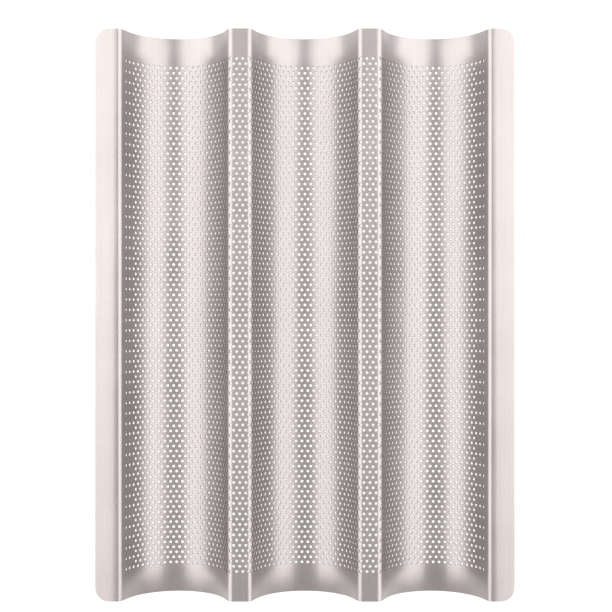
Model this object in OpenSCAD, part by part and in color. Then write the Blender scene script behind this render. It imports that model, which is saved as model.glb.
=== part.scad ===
// Three-loaf baguette tray, pressed from one perforated and coated steel sheet.
// Millimetres, +Z up, +Y along the loaves. The origin is on the surface that the
// tray stands on, under the middle of the centre trough.
//
// The sheet is one continuous pressing. It is modelled as seven regions that meet
// face to face, part way up the straight trough walls: three troughs, the two
// ridges between them, and a flange along each long side.

/* [Tray] */
// Length along the loaves
tray_length = 381; // [300:1:450]
// Width over both side flanges
tray_width = 279.4; // [276:0.2:300]
// Height from the table to the top of the ridges
tray_height = 30; // [28:0.5:34]
// Thickness of the coated sheet
sheet_t = 0.6; // [0.4:0.1:1]
// Plan radius of the four outer corners
corner_r = 9; // [3:0.5:12]

/* [Troughs] */
// Distance between the middles of two neighbouring troughs
trough_pitch = 86.6; // [84:0.2:92]
// Radius of the trough floor, on its upper side
trough_r = 35.5; // [33:0.5:36]
// Steepest slope of the trough wall, in degrees
wall_angle = 67; // [60:1:70]
// Radius of the shoulder where a wall turns over onto a ridge, on its upper side
shoulder_r = 4; // [3:0.5:5]

/* [Side flanges] */
// Level crest between the outer shoulder and the flange
crest_w = 1.8; // [1:0.1:3]
// Radius of the bend from the crest down to the flange, on its upper side
flange_bend_r = 3; // [2:0.5:6]
// Downward slope of the flange, in degrees
flange_tilt = 6; // [3:1:12]

/* [Perforation] */
// Punch the holes. Off, the sheet is plain, because thousands of bores are slow to rebuild
punch_holes = false; // [true, false]
// Diameter of a hole
hole_d = 2; // [1:0.1:2.4]
// Distance between rows of holes, along the loaves
row_pitch = 3.48; // [3:0.01:4]
// Number of rows; neighbouring rows are staggered by half a hole pitch
hole_rows = 99; // [3:2:107]

/* [Hidden] */
coating = "#b9b0ae";
$fn = 96;

half_t = sheet_t / 2;
mid_z = tray_height - half_t;                // middle of the sheet on the ridges
trough_mid_r = trough_r + half_t;            // middle of the sheet, on the floor arc
shoulder_mid_r = shoulder_r - half_t;        // and on the shoulder
arc_centre_z = sheet_t + trough_r;           // height of the floor arc's centre
arcs_r = trough_r + shoulder_r;

// The straight wall makes up the height that the two arcs leave.
wall_l = (tray_height - sheet_t - arcs_r * (1 - cos(wall_angle))) / sin(wall_angle);
shoulder_x = arcs_r * sin(wall_angle) + wall_l * cos(wall_angle);  // where level sheet starts
ridge_flat = trough_pitch - 2 * shoulder_x;

// Lengths along the flat sheet, before it is pressed, from the middle of a trough.
floor_s = trough_mid_r * wall_angle * PI / 180;
wall_s = floor_s + wall_l;
shoulder_s = wall_s + shoulder_mid_r * wall_angle * PI / 180;
period_s = 2 * shoulder_s + ridge_flat;
holes_per_period = 28;
hole_pitch = period_s / holes_per_period;

// The regions meet on the straight wall, between two staggered lines of holes.
split_holes = 10.75;
split_l = split_holes * hole_pitch - floor_s;

// Even rows stop short of the tray's outer shoulders, this many holes from a trough's middle.
outer_last_even = 8;

crest_x = trough_pitch + shoulder_x;
flange_x = crest_x + crest_w;
flange_l = (tray_width / 2 - flange_x) / cos(flange_tilt);  // long enough to be trimmed

// A profile is a chain of stretches. Each one starts at its own origin and heads along +X with
// its upper side on the X axis, and its children start where it ends.
module straight(l) {
    translate([0, -sheet_t])
        square([l, sheet_t]);
    translate([l, 0])
        children();
}

// A bend turns the sheet upwards by a positive angle and downwards by a negative one.
// Its radius is that of the upper side.
module bend(r, angle) {
    up = angle > 0;
    outer_r = up ? r + sheet_t : r;
    centre = [0, up ? r : -r];
    translate(centre)
        rotate(angle) {
            intersection() {
                difference() {
                    circle(r = outer_r);
                    circle(r = outer_r - sheet_t);
                }
                translate([-outer_r, -outer_r])
                    square([outer_r, 2 * outer_r]);
                rotate(-angle)
                    translate([0, -outer_r])
                        square([outer_r, 2 * outer_r]);
            }
            translate(-centre)
                children();
        }
}

module both_ways() {
    children();
    mirror([1, 0])
        children();
}

// From the middle of a trough's floor to its split with the ridges.
module trough_profile() {
    translate([0, sheet_t])
        both_ways()
            bend(trough_r, wall_angle)
                straight(split_l);
}

// From level sheet, over a shoulder and down a wall to the split with the trough.
module shoulder_and_wall() {
    bend(shoulder_r, -wall_angle)
        straight(wall_l - split_l);
}

module ridge_profile() {
    translate([0, tray_height])
        both_ways()
            straight(ridge_flat / 2)
                shoulder_and_wall();
}

module flange_profile() {
    translate([crest_x, tray_height]) {
        mirror([1, 0])
            shoulder_and_wall();
        straight(crest_w)
            bend(flange_bend_r, -flange_tilt)
                straight(flange_l);
    }
}

// A profile in X and Z, drawn out along the whole length of the tray.
module pressed() {
    rotate([90, 0, 0])
        linear_extrude(height = tray_length, center = true)
            children();
}

// The right-hand half of the tray in plan, with its rounded corners.
module right_outline() {
    straight_edge = tray_length - 2 * corner_r;
    translate([0, -straight_edge / 2])
        square([tray_width / 2, straight_edge]);
    translate([0, -tray_length / 2])
        square([tray_width / 2 - corner_r, tray_length]);
    for (side = [-1, 1])
        translate([tray_width / 2 - corner_r, side * straight_edge / 2])
            circle(r = corner_r);
}

// Place and slope on the middle of the sheet, s along it from a trough's middle: [x, z, slope].
function on_sheet(s) =
    s < 0 ? let (p = on_sheet(-s)) [-p[0], p[1], -p[2]] :
    s <= floor_s ?
        let (a = s / trough_mid_r * 180 / PI)
        [trough_mid_r * sin(a), arc_centre_z - trough_mid_r * cos(a), a] :
    s <= wall_s ?
        let (l = s - floor_s)
        [trough_mid_r * sin(wall_angle) + l * cos(wall_angle),
         arc_centre_z - trough_mid_r * cos(wall_angle) + l * sin(wall_angle), wall_angle] :
    s <= shoulder_s ?
        let (a = wall_angle - (s - wall_s) / shoulder_mid_r * 180 / PI)
        [shoulder_x - shoulder_mid_r * sin(a), mid_z - shoulder_mid_r * (1 - cos(a)), a] :
    s <= period_s / 2 ? [shoulder_x + s - shoulder_s, mid_z, 0] :
    let (p = on_sheet(period_s - s)) [trough_pitch - p[0], p[1], -p[2]];

// Odd rows lie half a pitch off a trough's middle, and even rows have a hole on it.
function first_hole(row) = row % 2 == 1 ? 0.5 : 0;

// Bores through the sheet for the holes from number n0 to n1, counted from a trough's middle.
module bores(n0, n1, even_n0, even_n1) {
    for (row = [1:hole_rows]) {
        odd = row % 2 == 1;
        low = odd ? n0 : even_n0;
        high = odd ? n1 : even_n1;
        y = (row - (hole_rows + 1) / 2) * row_pitch;
        for (n = [ceil(low - first_hole(row)) + first_hole(row):1:high]) {
            p = on_sheet(n * hole_pitch);
            translate([p[0], y, p[1]])
                rotate([0, -p[2], 0])
                    cylinder(d = hole_d, h = 3 * sheet_t, center = true, $fn = 24);
        }
    }
}

module trough(x, left_even = -split_holes, right_even = split_holes) {
    color(coating)
        translate([x, 0, 0])
            difference() {
                pressed() trough_profile();
                if (punch_holes)
                    bores(-split_holes, split_holes, left_even, right_even);
            }
}

module ridge(x) {
    last = holes_per_period - split_holes;
    color(coating)
        translate([x, 0, 0])
            difference() {
                pressed() ridge_profile();
                if (punch_holes)
                    translate([-trough_pitch / 2, 0, 0])
                        bores(split_holes, last, split_holes, last);
            }
}

// The punching ends before it reaches the flanges.
module right_hand_flange() {
    color(coating)
        intersection() {
            pressed() flange_profile();
            linear_extrude(height = 2 * tray_height)
                right_outline();
        }
}

mirror([1, 0, 0]) right_hand_flange();  // left_flange
trough(-trough_pitch, left_even = -outer_last_even);  // left_trough
ridge(-trough_pitch / 2);  // left_ridge
trough(0);  // centre_trough
ridge(trough_pitch / 2);  // right_ridge
trough(trough_pitch, right_even = outer_last_even);  // right_trough
right_hand_flange();  // right_flange
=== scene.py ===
# %% [markdown]
# # A three-loaf baguette tray
# The real tray is one steel sheet, 0.6 mm thick. It is punched flat with thousands of 2 mm
# holes, pressed into three long troughs, and then coated. This script makes it in that same
# order: one punched cell, flat blanks made of many cells, a pressing over one profile, and a
# coating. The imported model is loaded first, as the fixed frame that every piece must fit.

# %% Load the fixed frame
import math

import bmesh
import bpy
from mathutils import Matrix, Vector


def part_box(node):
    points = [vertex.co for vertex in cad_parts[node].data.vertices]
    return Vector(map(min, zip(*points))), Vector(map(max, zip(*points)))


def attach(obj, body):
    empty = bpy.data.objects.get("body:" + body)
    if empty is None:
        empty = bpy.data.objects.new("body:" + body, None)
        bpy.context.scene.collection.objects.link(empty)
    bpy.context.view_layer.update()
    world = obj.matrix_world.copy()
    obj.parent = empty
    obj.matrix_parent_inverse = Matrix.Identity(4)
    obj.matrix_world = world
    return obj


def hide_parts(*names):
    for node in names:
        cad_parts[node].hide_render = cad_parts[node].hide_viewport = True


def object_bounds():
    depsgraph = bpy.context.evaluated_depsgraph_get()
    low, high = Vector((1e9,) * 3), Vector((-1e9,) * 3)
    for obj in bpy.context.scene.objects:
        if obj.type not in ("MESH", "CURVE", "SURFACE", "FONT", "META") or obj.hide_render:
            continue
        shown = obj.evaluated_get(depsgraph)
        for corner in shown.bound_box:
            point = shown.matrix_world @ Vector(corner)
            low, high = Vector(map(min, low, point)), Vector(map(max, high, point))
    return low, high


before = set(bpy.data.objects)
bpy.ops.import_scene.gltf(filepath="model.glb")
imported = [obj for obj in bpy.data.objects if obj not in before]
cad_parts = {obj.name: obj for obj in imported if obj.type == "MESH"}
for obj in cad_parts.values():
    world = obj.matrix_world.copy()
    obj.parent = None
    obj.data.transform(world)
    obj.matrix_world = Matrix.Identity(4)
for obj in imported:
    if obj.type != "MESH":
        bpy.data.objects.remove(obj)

cad_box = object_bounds()
print("CAD box", [round(n, 4) for corner in cad_box for n in corner])

# %% [markdown]
# ## The sheet's own measurements
# A pressed sheet is easiest to describe by its profile: straight stretches and bends, one
# after the other. The radii here are those of the middle of the sheet, because that layer
# keeps its length when the sheet is bent. Distances along the flat sheet are counted from the
# middle of the centre trough, so a hole's place is a whole or half number of hole pitches.

# %% Sizes in metres
MM = 0.001
sheet_t = 0.6 * MM
half_t = sheet_t / 2
half_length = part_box("centre_trough")[1].y
top_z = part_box("left_ridge")[1].z
half_width = cad_box[1].x
trough_pitch = 86.6 * MM
trough_r = 35.5 * MM + half_t
shoulder_r = 4 * MM - half_t
flange_bend_r = 3 * MM - half_t
wall_angle = math.radians(67)
flange_tilt = math.radians(6)
crest_w = 1.8 * MM
edge_gap = 0.05 * MM        # keeps the outer edge just inside the fixed frame

arcs_r = trough_r + shoulder_r
wall_rise = top_z - sheet_t - arcs_r * (1 - math.cos(wall_angle))
wall_l = wall_rise / math.sin(wall_angle)
shoulder_x = arcs_r * math.sin(wall_angle) + wall_l * math.cos(wall_angle)
ridge_flat = trough_pitch - 2 * shoulder_x
flange_start = trough_pitch + shoulder_x + crest_w
flange_run = half_width - flange_start - flange_bend_r * math.sin(flange_tilt)
flange_l = flange_run / math.cos(flange_tilt) - edge_gap
print("level strip on a ridge, mm", round(ridge_flat / MM, 2))
print("straight part of a wall, mm", round(wall_l / MM, 2))

# %% Lengths along the flat sheet
wall_s = trough_r * wall_angle + wall_l
shoulder_s = wall_s + shoulder_r * wall_angle
period_s = 2 * shoulder_s + ridge_flat
crest_s = period_s + shoulder_s
bend_s = crest_s + crest_w
edge_s = bend_s + flange_bend_r * flange_tilt + flange_l

HOLES_PER_PERIOD = 28
SPLIT_HOLES = 10.75         # the regions meet this many pitches from a trough's middle
hole_pitch = period_s / HOLES_PER_PERIOD
row_pitch = 3.48 * MM
hole_rows = 99
split_s = SPLIT_HOLES * hole_pitch
print("flat sheet, mm", round(2 * edge_s / MM, 1), "by", round(2 * half_length / MM, 1))
print("hole pitch, mm", round(hole_pitch / MM, 4))

# %% [markdown]
# ## Small helpers for edit mode
# An operator acts on everything that is selected, so nothing is left selected between steps.
# Vertices, edges and faces are picked by where they are, never by their number.

# %% Helpers that pick and finish
NEAR = 1e-6


def start_clean():
    """Leaves edit mode and selects nothing."""
    if bpy.context.mode != "OBJECT":
        bpy.ops.object.mode_set(mode="OBJECT")
    bpy.ops.object.select_all(action="DESELECT")


def only(piece):
    """Selects one object and makes it active."""
    start_clean()
    piece.select_set(True)
    bpy.context.view_layer.objects.active = piece
    return piece


def edit(piece, mode="VERT"):
    """Enters edit mode on one object with nothing selected in it."""
    only(piece)
    bpy.ops.object.mode_set(mode="EDIT")
    bpy.ops.mesh.select_mode(type=mode)
    bpy.ops.mesh.select_all(action="DESELECT")


def pick(kind, test):
    """Selects the vertices, edges or faces that the test says yes to."""
    mesh = bpy.context.edit_object.data
    shape = bmesh.from_edit_mesh(mesh)
    for element in getattr(shape, kind):
        element.select_set(bool(test(element)))
    bmesh.update_edit_mesh(mesh, loop_triangles=False, destructive=False)


def named(name):
    """Gives the object just made its name, and its mesh the same one."""
    piece = bpy.context.active_object
    piece.name = name
    piece.data.name = name
    return piece


def copied(piece, name):
    """A copy with a mesh of its own."""
    double = piece.copy()
    double.data = piece.data.copy()
    double.name = name
    double.data.name = name
    bpy.context.scene.collection.objects.link(double)
    return double


def moved(piece, x=0.0, y=0.0, z=0.0):
    """Moves a piece and puts the move into its mesh."""
    only(piece)
    piece.location = (x, y, z)
    bpy.ops.object.transform_apply(location=True, rotation=False, scale=False)
    return piece


def joined(pieces):
    """Makes one object of several."""
    if len(pieces) == 1:
        return only(pieces[0])
    start_clean()
    for piece in pieces:
        piece.select_set(True)
    bpy.context.view_layer.objects.active = pieces[0]
    bpy.ops.object.join()
    return bpy.context.active_object


def repeated(piece, count, step):
    """Repeats a piece in a row, with the copies welded where they touch."""
    only(piece)
    bpy.ops.object.modifier_add(type="ARRAY")
    array = piece.modifiers[-1]
    array.count = count
    array.use_relative_offset = False
    array.use_constant_offset = True
    array.constant_offset_displace = step
    array.use_merge_vertices = True
    array.merge_threshold = NEAR
    bpy.ops.object.modifier_apply(modifier=array.name)
    return piece


def removed(*pieces):
    """Takes away helper objects that are done with."""
    start_clean()
    for piece in pieces:
        bpy.data.objects.remove(piece)


# %% [markdown]
# ## One punched cell
# Thousands of boolean cuts would be slow and would leave ragged triangles. The holes repeat,
# so one small cell of sheet with one hole is modelled instead, and tiled. The rows are
# staggered by half a pitch like bricks, so each long side of a cell also needs a corner at
# its middle, for its neighbours to weld to. The hole has 12 sides with the open area of a
# round 2 mm hole, and its upper rim is broken by a narrow chamfer, as a coated edge is.

# %% The hole's ring sizes
HOLE_SIDES = 12
round_hole_r = 1 * MM
ring_area = HOLE_SIDES / 2 * math.sin(2 * math.pi / HOLE_SIDES)
hole_r = round_hole_r * math.sqrt(math.pi / ring_area)
rim_w = 0.09 * MM
rim_r = hole_r + rim_w
SLACK = 0.01 * MM           # how far a vertex may be from where it is looked for
print("middle of the hole to its corners, mm", round(hole_r / MM, 4))


def is_ring(vertex, radius):
    """True for a vertex on a circle of that radius round the hole."""
    return abs(math.hypot(vertex.co.x, vertex.co.y) - radius) < SLACK


def cell_outline(name):
    """The six-cornered outline of a cell, with its face, on the top of the sheet."""
    start_clean()
    bpy.ops.mesh.primitive_plane_add(size=1, location=(0, 0, half_t))
    cell = named(name)
    bpy.ops.object.transform_apply(location=True, rotation=False, scale=False)
    edit(cell, "EDGE")
    bpy.ops.mesh.select_all(action="SELECT")
    bpy.ops.transform.resize(value=(hole_pitch, row_pitch, 1), center_override=(0, 0, half_t))
    pick("edges", lambda e: abs(e.verts[0].co.y - e.verts[1].co.y) < NEAR)
    bpy.ops.mesh.subdivide(number_cuts=1)
    pick("edges", lambda e: all(abs(v.co.x) < NEAR for v in e.verts))
    bpy.ops.mesh.dissolve_edges(use_verts=False)
    return cell


def underside(cell, scale):
    """Copies the top of a cell down to the bottom, with its ring resized, and turns it over."""
    edit(cell, "FACE")
    pick("faces", lambda f: all(abs(v.co.z - half_t) < NEAR for v in f.verts))
    bpy.ops.mesh.duplicate_move(TRANSFORM_OT_translate={"value": (0, 0, -sheet_t)})
    bpy.ops.mesh.flip_normals()
    bpy.ops.mesh.select_mode(type="VERT")
    pick("verts", lambda v: is_ring(v, rim_r) and abs(v.co.z + half_t) < NEAR)
    bpy.ops.transform.resize(value=(scale, scale, 1), center_override=(0, 0, -half_t))


# %% Model the punched cell
punched = cell_outline("punched_cell")
edit(punched, "FACE")
bpy.ops.mesh.select_all(action="SELECT")
bpy.ops.mesh.delete(type="ONLY_FACE")
turn = math.pi / HOLE_SIDES
bpy.ops.mesh.primitive_circle_add(
    vertices=HOLE_SIDES, radius=rim_r, location=(0, 0, half_t), rotation=(0, 0, turn))
bpy.ops.mesh.select_mode(type="EDGE")
bpy.ops.mesh.select_all(action="SELECT")
bpy.ops.mesh.bridge_edge_loops()
underside(punched, hole_r / rim_r)

# %% Roll the rim over and draw the wall of the hole down
edit(punched, "EDGE")
pick("edges", lambda e: all(is_ring(v, rim_r) and v.co.z > 0 for v in e.verts))
bpy.ops.mesh.extrude_region_move(TRANSFORM_OT_translate={"value": (0, 0, -rim_w)})
shrink = hole_r / rim_r
bpy.ops.transform.resize(value=(shrink, shrink, 1), center_override=(0, 0, 0))
bpy.ops.mesh.extrude_region_move(TRANSFORM_OT_translate={"value": (0, 0, rim_w - sheet_t)})
bpy.ops.mesh.select_all(action="SELECT")
bpy.ops.mesh.remove_doubles(threshold=NEAR)
start_clean()
print("punched cell:", len(punched.data.vertices), "vertices,", len(punched.data.polygons), "faces")

# %% Mark the rim, for the coating to know where the holes are
def mark_rim(cell, test):
    """Gives every vertex a number called rim: 1 where the test says yes, and 0 elsewhere."""
    only(cell)
    bpy.ops.geometry.attribute_add(name="rim", domain="POINT", data_type="FLOAT")
    edit(cell)
    pick("verts", test)
    if cell.data.total_vert_sel:
        bpy.ops.mesh.attribute_set(value_float=1)
    start_clean()


mark_rim(punched, lambda v: is_ring(v, rim_r) or is_ring(v, hole_r))
rim_values = [item.value for item in punched.data.attributes["rim"].data]
print("marked rim vertices:", sum(1 for value in rim_values if value > 0.5))

# %% Model the plain cell, for places in the pattern that are left unpunched
plain = cell_outline("plain_cell")
underside(plain, 1)
mark_rim(plain, lambda v: False)
print("plain cell:", len(plain.data.vertices), "vertices,", len(plain.data.polygons), "faces")

# %% [markdown]
# ## Rows of cells become a flat blank
# A blank is a stretch of the flat sheet between two cuts. Odd rows have their holes half a
# pitch away from a trough's middle, and even rows have one on it. One odd and one even row are
# tiled along the tray, and a last odd row ends the pattern. Then the two ends are drawn out
# to the tray's full length, closed, and their raw edges rounded a little.

# %% A row, and the block of all rows
first_row_y = -(hole_rows - 1) / 2 * row_pitch
pattern_end = hole_rows * row_pitch / 2
print("plain ends, mm", round((half_length - pattern_end) / MM, 2))


def cell_row(name, cells, y):
    """One row: cells is a list of (cell, place of the first one in pitches, how many)."""
    runs = []
    for cell, first, count in cells:
        run = copied(cell, name)
        repeated(run, count, (hole_pitch, 0, 0))
        runs.append(moved(run, first * hole_pitch, y))
    return joined(runs)


def punched_block(name, odd_cells, even_cells):
    """All the rows of a blank, welded into one two-sided skin."""
    odd = cell_row(name, odd_cells, first_row_y)
    even = cell_row(name, even_cells, first_row_y + row_pitch)
    last = moved(copied(odd, name), 0, (hole_rows - 1) * row_pitch)
    pairs = joined([odd, even])
    repeated(pairs, (hole_rows - 1) // 2, (0, 2 * row_pitch, 0))
    block = joined([pairs, last])
    edit(block)
    bpy.ops.mesh.select_all(action="SELECT")
    bpy.ops.mesh.remove_doubles(threshold=NEAR)
    return block


# %% Plain ends, closed and rounded
cut_round = 0.14 * MM
CUT_STEPS = 2


def at_y(edge, y):
    """True for an edge that runs across the sheet at that place along it."""
    return all(abs(v.co.y - y) < NEAR for v in edge.verts)


def is_level(edge):
    """True for an edge with both its ends at one height."""
    return abs(edge.verts[0].co.z - edge.verts[1].co.z) < NEAR


def draw_out_ends(block):
    """Extends both ends to the tray's length, closes them and rounds the cut edges."""
    for way in (-1, 1):
        edit(block, "EDGE")
        pick("edges", lambda e: e.is_boundary and at_y(e, way * pattern_end))
        reach = way * (half_length - pattern_end)
        bpy.ops.mesh.extrude_region_move(TRANSFORM_OT_translate={"value": (0, reach, 0)})
        pick("edges", lambda e: e.is_boundary and at_y(e, way * half_length))
        bpy.ops.mesh.bridge_edge_loops()
        pick("edges", lambda e: at_y(e, way * half_length) and is_level(e))
        bpy.ops.mesh.bevel(
            offset=cut_round, segments=CUT_STEPS, affect="EDGES", clamp_overlap=False)


# %% Cuts that divide the sheet into its regions
def cut_off(block, s, keep_low):
    """Cuts the sheet across at s, removes one side and closes the cut."""
    edit(block)
    bpy.ops.mesh.select_all(action="SELECT")
    bpy.ops.mesh.bisect(
        plane_co=(s, 0, 0), plane_no=(1, 0, 0), use_fill=True,
        clear_outer=keep_low, clear_inner=not keep_low, threshold=NEAR)


def score(block, places):
    """Adds lines along the sheet, where it will bend most tightly."""
    for s in places:
        edit(block)
        bpy.ops.mesh.select_all(action="SELECT")
        bpy.ops.mesh.bisect(plane_co=(s, 0, 0), plane_no=(1, 0, 0), threshold=NEAR)


def mark_skin(block):
    """Puts the sheet's two broad faces in a vertex group, without the lower rims of holes."""
    edit(block)

    def on_skin(vertex):
        others = [e.other_vert(vertex) for e in vertex.link_edges]
        at_wall = any(v.co.z > vertex.co.z + half_t for v in others)
        return abs(vertex.co.z) > half_t - NEAR and not (vertex.co.z < 0 and at_wall)

    pick("verts", on_skin)
    bpy.ops.object.vertex_group_add()
    block.vertex_groups[-1].name = "skin"
    bpy.ops.object.vertex_group_assign()
    start_clean()


def finished_blank(block, low, high):
    """Trims a block to one region of the sheet, and points its faces outwards."""
    draw_out_ends(block)
    cut_off(block, high, True)
    cut_off(block, low, False)
    edit(block)
    bpy.ops.mesh.select_all(action="SELECT")
    bpy.ops.mesh.normals_make_consistent(inside=False)
    start_clean()
    open_edges = sum(1 for count in edge_uses(block.data) if count != 2)
    print(block.name, len(block.data.polygons), "faces,", open_edges, "open edges")
    return block


def edge_uses(mesh):
    """How many faces use each edge; a closed shell has two everywhere."""
    uses = [0] * len(mesh.edges)
    for loop in mesh.loops:
        uses[loop.edge_index] += 1
    return uses


# %% [markdown]
# ## The seven blanks
# The troughs and ridges are punched all over. On the outermost wall of the tray the odd rows
# run as far up as anywhere else, but the even rows stop short of it, so those cells are plain.
# The flanges carry no holes. The cuts between regions pass half way between two staggered
# lines of holes.

# %% Trough blanks
block = punched_block("centre_trough_sheet", [(punched, -10.5, 22)], [(punched, -11, 23)])
centre_blank = finished_blank(block, -split_s, split_s)

block = punched_block(
    "right_trough_sheet", [(punched, -10.5, 22)], [(punched, -11, 20), (plain, 9, 3)])
right_blank = finished_blank(block, -split_s, split_s)

block = punched_block(
    "left_trough_sheet", [(punched, -10.5, 22)], [(plain, -11, 3), (punched, -8, 20)])
left_blank = finished_blank(block, -split_s, split_s)

# %% Ridge blanks, scored along their shoulders
ridge_half = period_s / 2 - split_s
SHOULDER_STEPS = 8


def shoulder_lines(start, end):
    """Evenly spaced places over one shoulder, its two ends included."""
    step = (end - start) / SHOULDER_STEPS
    return [start + step * n for n in range(SHOULDER_STEPS + 1)]


block = punched_block("right_ridge_sheet", [(punched, -3.5, 8)], [(punched, -3, 7)])
right_ridge_blank = finished_blank(block, -ridge_half, ridge_half)
flat_half = ridge_flat / 2
shoulder_end = flat_half + shoulder_r * wall_angle
score(right_ridge_blank, shoulder_lines(flat_half, shoulder_end))
score(right_ridge_blank, shoulder_lines(-shoulder_end, -flat_half))
start_clean()
mark_skin(right_ridge_blank)
print("ridge", len(right_ridge_blank.data.polygons), "faces")

# %% [markdown]
# ## The flange blanks
# A flange blank is a plain strip. Its two outer corners are rounded by a vertex bevel while
# it is still one flat face, which gives a true quarter circle. Then it gets its thickness,
# the raw edges are rounded, and it is scored where the shoulder and the flange will bend.

# %% Right flange blank
corner_r = 9 * MM
CORNER_STEPS = 14
start_clean()
bpy.ops.mesh.primitive_plane_add(size=1, location=(0, 0, 0))
flange_blank = named("right_flange_sheet")
edit(flange_blank)
bpy.ops.mesh.select_all(action="SELECT")
flange_s = (split_s + period_s, edge_s)
flange_size = (flange_s[1] - flange_s[0], 2 * half_length, 1)
bpy.ops.transform.resize(value=flange_size, center_override=(0, 0, 0))
bpy.ops.transform.translate(value=(sum(flange_s) / 2, 0, -half_t))
pick("verts", lambda v: v.co.x > flange_s[1] - NEAR)
bpy.ops.mesh.bevel(
    offset=corner_r, segments=CORNER_STEPS, affect="VERTICES", clamp_overlap=False)

# %% Thickness, rounded edges and scored bends
edit(flange_blank, "FACE")
bpy.ops.mesh.select_all(action="SELECT")
bpy.ops.mesh.extrude_region_move(TRANSFORM_OT_translate={"value": (0, 0, sheet_t)})
bpy.ops.mesh.select_all(action="SELECT")
bpy.ops.mesh.normals_make_consistent(inside=False)


def is_raw_edge(edge):
    """True for the long sharp edges round the outside, but not those at the cut."""
    at_cut = all(v.co.x < flange_s[0] + NEAR for v in edge.verts)
    return is_level(edge) and not at_cut


bpy.ops.mesh.select_mode(type="EDGE")
pick("edges", is_raw_edge)
bpy.ops.mesh.bevel(offset=cut_round, segments=CUT_STEPS, affect="EDGES", clamp_overlap=False)
score(flange_blank, shoulder_lines(period_s + wall_s, crest_s))
bend_end = bend_s + flange_bend_r * flange_tilt
score(flange_blank, [bend_s, (bend_s + bend_end) / 2, bend_end])
mark_skin(flange_blank)
print("right flange", len(flange_blank.data.polygons), "faces")

# %% Left flange blank, the other way round
left_flange_blank = copied(flange_blank, "left_flange_sheet")
edit(left_flange_blank)
bpy.ops.mesh.select_all(action="SELECT")
bpy.ops.transform.resize(value=(-1, 1, 1), center_override=(0, 0, 0))
bpy.ops.mesh.normals_make_consistent(inside=False)
start_clean()
print("left flange", len(left_flange_blank.data.polygons), "faces")

# %% [markdown]
# ## The die: one profile for the whole sheet
# The press gives every region the same profile, so the profile is drawn once. It starts as a
# single vertex. A straight stretch is an extrusion, and a bend is a spin of the last vertex
# about the bend's centre. The finished line becomes a curve, and a Curve modifier wraps the
# blanks round it: distance across the flat sheet becomes distance along the curve.

# %% Draw the profile
half_profile = [
    ("bend", trough_r, wall_angle), ("straight", wall_l), ("bend", shoulder_r, -wall_angle),
    ("straight", ridge_flat), ("bend", shoulder_r, -wall_angle), ("straight", wall_l),
    ("bend", trough_r, wall_angle), ("bend", trough_r, wall_angle), ("straight", wall_l),
    ("bend", shoulder_r, -wall_angle), ("straight", crest_w),
    ("bend", flange_bend_r, -flange_tilt), ("straight", flange_l)]
profile = half_profile[::-1] + half_profile
BEND_STEP = math.radians(0.5)
FEWEST_STEPS = 2


def draw_profile(stretches, heading):
    """A line of vertices in X and Z, from the origin, with that heading at its start."""
    start_clean()
    bpy.ops.mesh.primitive_plane_add(size=1, location=(0, 0, 0))
    line = named("die_line")
    edit(line)
    bpy.ops.mesh.select_all(action="SELECT")
    bpy.ops.mesh.merge(type="CENTER")
    tip = Vector((0, 0, 0))
    for stretch in stretches:
        along = Vector((math.cos(heading), 0, math.sin(heading)))
        if stretch[0] == "straight":
            bpy.ops.mesh.extrude_region_move(
                TRANSFORM_OT_translate={"value": along * stretch[1]})
            tip = tip + along * stretch[1]
        else:
            radius, angle = stretch[1:]
            side = 1 if angle > 0 else -1
            centre = tip + side * radius * Vector((-along.z, 0, along.x))
            steps = max(FEWEST_STEPS, round(abs(angle) / BEND_STEP))
            bpy.ops.mesh.spin(
                steps=steps, angle=angle, center=centre, axis=(0, 1, 0), use_auto_merge=False)
            heading += angle
            turned = Vector((math.cos(heading), 0, math.sin(heading)))
            tip = centre - side * radius * Vector((-turned.z, 0, turned.x))
    return line, tip


line, tip = draw_profile(profile, flange_tilt)
start_clean()
print("profile vertices", len(line.data.vertices), "tip, mm", [round(n / MM, 3) for n in tip])
ends = [v.co for v in line.data.vertices if (v.co - tip).length < SLACK]
print("the last vertex is where it should be:", len(ends) == 1)

# %% Turn the line into the die curve, in its place in the tray
low_z = min(v.co.z for v in line.data.vertices)
moved(line, -tip.x / 2, 0, half_t - low_z)
bpy.ops.object.convert(target="CURVE")
die = bpy.context.active_object
die.name = "die"
die.data.twist_mode = "Z_UP"
die.data.use_deform_bounds = False
if die.data.splines[0].points[0].co.x > 0:
    bpy.ops.object.mode_set(mode="EDIT")
    bpy.ops.curve.select_all(action="SELECT")
    bpy.ops.curve.switch_direction()
    bpy.ops.object.mode_set(mode="OBJECT")
start = die.data.splines[0].points[0].co
print("die starts at, mm", [round(n / MM, 3) for n in start[:3]])


# %% Press the blanks
def press(blank, shift):
    """Puts a blank at its place on the sheet and wraps it round the die."""
    moved(blank, edge_s + shift)
    only(blank)
    bpy.ops.object.modifier_add(type="CURVE")
    wrap = blank.modifiers[-1]
    wrap.object = die
    wrap.deform_axis = "POS_X"
    bpy.ops.object.modifier_apply(modifier=wrap.name)
    return blank


pieces = [
    press(left_flange_blank, 0), press(left_blank, -period_s), press(centre_blank, 0),
    press(right_ridge_blank, period_s / 2), press(right_blank, period_s),
    press(flange_blank, 0)]
removed(punched, plain)
print("pressed pieces:", len(pieces))

# %% [markdown]
# ## Smooth reflections over a punched, bent sheet
# Where a sheet is full of holes, each corner's shading normal is an average of a few uneven
# triangles. On the wide curve of a trough that is close enough, but on the tight shoulders a
# glossy finish shows it as ripples. So a plain, unpunched sheet is pressed over the same die,
# finely divided, and its clean normals are carried over to the broad faces of the ridges and
# flanges. The walls of the holes keep their own. The left ridge is then a copy of the right.

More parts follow.
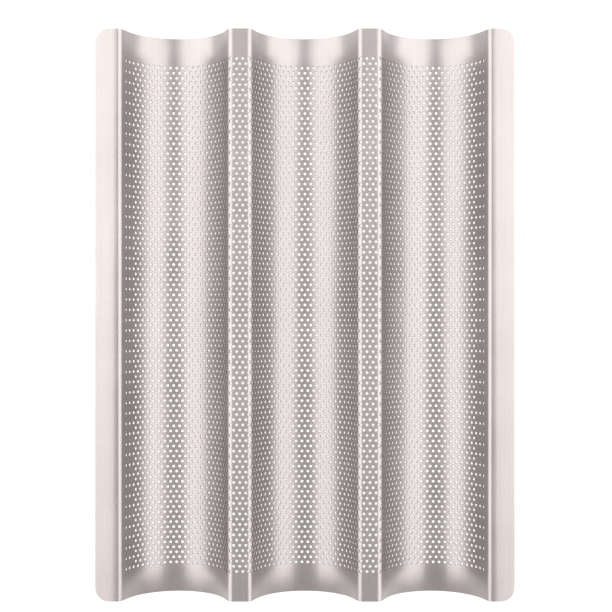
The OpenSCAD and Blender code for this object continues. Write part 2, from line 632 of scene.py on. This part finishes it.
# %% A smooth sheet to take the normals from
SMOOTH_STRIPS = 900
start_clean()
bpy.ops.mesh.primitive_grid_add(x_subdivisions=SMOOTH_STRIPS, y_subdivisions=1, size=1)
smooth_sheet = named("smooth_sheet")
edit(smooth_sheet, "FACE")
bpy.ops.mesh.select_all(action="SELECT")
bpy.ops.transform.resize(value=(2 * edge_s, 2 * half_length, 1), center_override=(0, 0, 0))
bpy.ops.transform.translate(value=(0, 0, -half_t))
bpy.ops.mesh.extrude_region_move(TRANSFORM_OT_translate={"value": (0, 0, sheet_t)})
bpy.ops.mesh.select_all(action="SELECT")
bpy.ops.mesh.normals_make_consistent(inside=False)
press(smooth_sheet, 0)
SHARP = math.radians(35)
bpy.ops.object.shade_smooth_by_angle(angle=SHARP)
print("smooth sheet", len(smooth_sheet.data.polygons), "faces")


# %% Carry the normals over
def shade(piece):
    """Smooth shading with sharp edges kept, and the smooth sheet's normals on the skin."""
    only(piece)
    bpy.ops.object.shade_smooth_by_angle(angle=SHARP)
    if "skin" not in piece.vertex_groups:
        return
    bpy.ops.object.modifier_add(type="DATA_TRANSFER")
    carry = piece.modifiers[-1]
    carry.object = smooth_sheet
    carry.use_loop_data = True
    carry.data_types_loops = {"CUSTOM_NORMAL"}
    carry.loop_mapping = "POLYINTERP_NEAREST"
    carry.vertex_group = "skin"
    bpy.ops.object.modifier_apply(modifier=carry.name)
    piece.vertex_groups.clear()


for piece in pieces:
    shade(piece)
pieces.append(moved(copied(right_ridge_blank, "left_ridge_sheet"), -trough_pitch))

for piece in pieces:
    piece.data.calc_loop_triangles()
    print(piece.name, len(piece.data.loop_triangles), "triangles")
removed(smooth_sheet, die)

# %% [markdown]
# ## The coating
# The tray has a satin, warm grey non-stick coating with a fine metallic grain. It is sprayed
# on, so it lies a little unevenly: broad clouds of slightly rougher and smoother finish, a
# soft grain like very fine orange peel, and faint lines along the troughs where the sheet was
# drawn through the press. The walls and chamfers of the holes carry painted shade, a darker
# and rougher coat, and the last quarter millimetre at each cut end is painted darker and rougher
# too.
# Shader maths is easier to read as arithmetic, so one small class wraps a node's output.


# %% A signal that can be added, multiplied and mixed
class Signal:
    """One output of a shader node. Arithmetic on signals adds Math nodes."""

    def __init__(self, tree, socket=None):
        self.tree = tree
        self.socket = socket

    def node(self, kind, settings, sockets, output=0):
        """Adds a node: its settings first, then values or links for its sockets."""
        made = self.tree.nodes.new(kind)
        for setting, value in settings.items():
            setattr(made, setting, value)
        for key, value in sockets.items():
            if isinstance(value, Signal):
                self.tree.links.new(value.socket, made.inputs[key])
            else:
                made.inputs[key].default_value = value
        return Signal(self.tree, made.outputs[output])

    def maths(self, operation, *values):
        """A Math node on one, two or three signals or numbers."""
        return self.node("ShaderNodeMath", {"operation": operation}, dict(enumerate(values)))

    def __add__(self, other):
        return self.maths("ADD", self, other)

    def __radd__(self, other):
        return self.maths("ADD", other, self)

    def __mul__(self, other):
        return self.maths("MULTIPLY", self, other)

    def __rmul__(self, other):
        return self.maths("MULTIPLY", other, self)


# %% Patterns on the sheet
def fresh_material(name):
    """A material with only its output node, and a signal to build on."""
    material = bpy.data.materials.new(name)
    material.use_nodes = True
    tree = material.node_tree
    tree.nodes.clear()
    return material, Signal(tree)


def noise(start, place, size, detail=2.0, roughness=0.5):
    """Soft random mottling, from 0 to 1, with patches of about that size in metres."""
    return start.node(
        "ShaderNodeTexNoise", {},
        {"Vector": place, "Scale": 1 / size, "Detail": detail, "Roughness": roughness})


def spread(start, signal, low, high):
    """Stretches a signal so that low becomes 0 and high becomes 1, and no further."""
    return start.node(
        "ShaderNodeMapRange", {"interpolation_type": "SMOOTHSTEP"},
        {"Value": signal, "From Min": low, "From Max": high})


def blended(start, mask, below, above):
    """A colour that goes from one to the other as the mask goes from 0 to 1."""
    return start.node(
        "ShaderNodeMix", {"data_type": "RGBA"}, {0: mask, 6: below, 7: above}, output=2)


# %% The coated steel
coated_steel, start = fresh_material("coated_steel")
place = start.node("ShaderNodeTexCoord", {}, {}, output=3)
LINE_STRETCH = 0.012        # press lines change this much more slowly along than across
along = start.node("ShaderNodeMapping", {}, {"Vector": place, "Scale": (1, LINE_STRETCH, 1)})
rim = start.node("ShaderNodeAttribute", {"attribute_name": "rim"}, {}, output=2)
lengthwise = start.node("ShaderNodeSeparateXYZ", {}, {"Vector": place}, output=1)

flakes = noise(start, place, 0.35 * MM, detail=1)
peel = noise(start, place, 1.6 * MM)
clouds = noise(start, place, 38 * MM, detail=3)
draw_lines = noise(start, along, 0.9 * MM, detail=3, roughness=0.6)

# Painted shade in the holes: the marked walls and chamfers, and a thin ring of sheet round each
# hole, get a darker colour and a rougher finish.
painted_hole_shade = spread(start, rim, 0.8, 1.0)
from_middle = start.maths("ABSOLUTE", lengthwise)
# The last quarter millimetre at each cut end of the sheet is painted darker and made rougher.
dark_end_band = spread(start, from_middle, half_length - 0.25 * MM, half_length)
hole_shade_and_dark_ends = start.maths("MAXIMUM", painted_hole_shade, dark_end_band)

LIGHT_COAT = (0.280, 0.252, 0.246, 1)
DARK_COAT = (0.230, 0.206, 0.201, 1)
# The darker colour used for the painted shade in the holes and for the darker cut ends.
HOLE_SHADE_AND_END_COAT = (0.13, 0.118, 0.115, 1)
tone = spread(start, flakes * 0.5 + clouds * 0.3 + draw_lines * 0.2, 0.36, 0.64)
coat_colour = blended(start, tone, DARK_COAT, LIGHT_COAT)
colour = blended(start, hole_shade_and_dark_ends, coat_colour, HOLE_SHADE_AND_END_COAT)

matt = 0.25 + clouds * 0.10 + flakes * 0.06 + hole_shade_and_dark_ends * 0.15
height = flakes * 0.25 + peel * 0.45 + draw_lines * 0.5
relief = start.node(
    "ShaderNodeBump", {}, {"Strength": 0.10, "Distance": 0.02 * MM, "Height": height})

steel = start.node("ShaderNodeBsdfPrincipled", {}, {
    "Base Color": colour, "Roughness": matt, "Metallic": 0.7, "Normal": relief,
    "IOR": 1.5, "Coat Weight": 0.12, "Coat Roughness": 0.25})
finish = start.tree.nodes.new("ShaderNodeOutputMaterial")
start.tree.links.new(steel.socket, finish.inputs["Surface"])
print("coating nodes:", len(coated_steel.node_tree.nodes))

# %% Coat the pieces and set them on the frame
for piece in pieces:
    piece.data.materials.clear()
    piece.data.materials.append(coated_steel)
    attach(piece, "root")
    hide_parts(piece.name.replace("_sheet", ""))
print("pieces on the frame:", len(pieces))

# %% [markdown]
# ## Floor, light and camera
# The tray is looked at from straight above, on a white surface that glows a little, so that
# the holes read as bright dots. Two long softboxes stand to the left and right. A coated
# metal shows its surroundings more than its own colour: the level parts mirror the grey space
# overhead, and the sides of the troughs mirror the softboxes as two pale bands. Where the
# space is looked at directly it is white, so that it carries on from the floor.

# %% White floor
FLOOR_SIZE = 60
FLOOR_GAP = 0.2 * MM        # keeps the floor from touching the troughs
start_clean()
bpy.ops.mesh.primitive_plane_add(size=FLOOR_SIZE, location=(0, 0, -FLOOR_GAP))
floor = named("floor")
pale, start = fresh_material("pale_floor")
paper = start.node("ShaderNodeBsdfPrincipled", {}, {
    "Base Color": (0.2, 0.2, 0.2, 1), "Roughness": 0.8,
    "Emission Color": (1, 1, 1, 1), "Emission Strength": 0.85})
finish = start.tree.nodes.new("ShaderNodeOutputMaterial")
start.tree.links.new(paper.socket, finish.inputs["Surface"])
floor.data.materials.append(pale)
print("floor, metres across:", FLOOR_SIZE)


# %% Softboxes and the grey space overhead
def softbox(name, place, size, glow):
    """A rectangular light that faces the middle of the tray; glow is its brightness."""
    start_clean()
    aim = Vector(place).to_track_quat("Z", "Y").to_euler()
    bpy.ops.object.light_add(type="AREA", location=place, rotation=aim)
    lamp = bpy.context.active_object
    lamp.name = name
    lamp.data.shape = "RECTANGLE"
    lamp.data.size = size[0]
    lamp.data.size_y = size[1]
    lamp.data.energy = glow * math.pi * size[0] * size[1]


BOX_SIZE = (1.5, 1.35)      # along the tray, and across
BOX_GLOW = 3.5
softbox("left_softbox", (-0.64, 0.17, 0.38), BOX_SIZE, BOX_GLOW)
softbox("right_softbox", (0.64, 0.17, 0.38), BOX_SIZE, BOX_GLOW)

OVERHEAD_GREY = (0.74, 0.74, 0.75, 1)
world = bpy.data.worlds.new("studio")
world.use_nodes = True
bpy.context.scene.world = world
world.node_tree.nodes.clear()
start = Signal(world.node_tree)
looked_at = start.node("ShaderNodeLightPath", {}, {}, output=0)
sky = blended(start, looked_at, OVERHEAD_GREY, (1, 1, 1, 1))
background = start.node("ShaderNodeBackground", {}, {"Color": sky})
finish = start.tree.nodes.new("ShaderNodeOutputWorld")
start.tree.links.new(background.socket, finish.inputs["Surface"])
bpy.context.scene.view_settings.view_transform = "Standard"
print("softboxes, metres:", BOX_SIZE)

# %% Camera straight above
CAMERA_ABOVE_RIDGES = 742 * MM
bpy.ops.object.camera_add(location=(0, 0, top_z + CAMERA_ABOVE_RIDGES), rotation=(0, 0, 0))
camera = bpy.context.active_object
camera.data.sensor_width = 36
camera.data.lens = 65.7
camera.data.shift_x = 0.0018
camera.data.shift_y = 0.0147
bpy.context.scene.camera = camera
print("camera, mm above the table:", round(camera.location.z / MM))
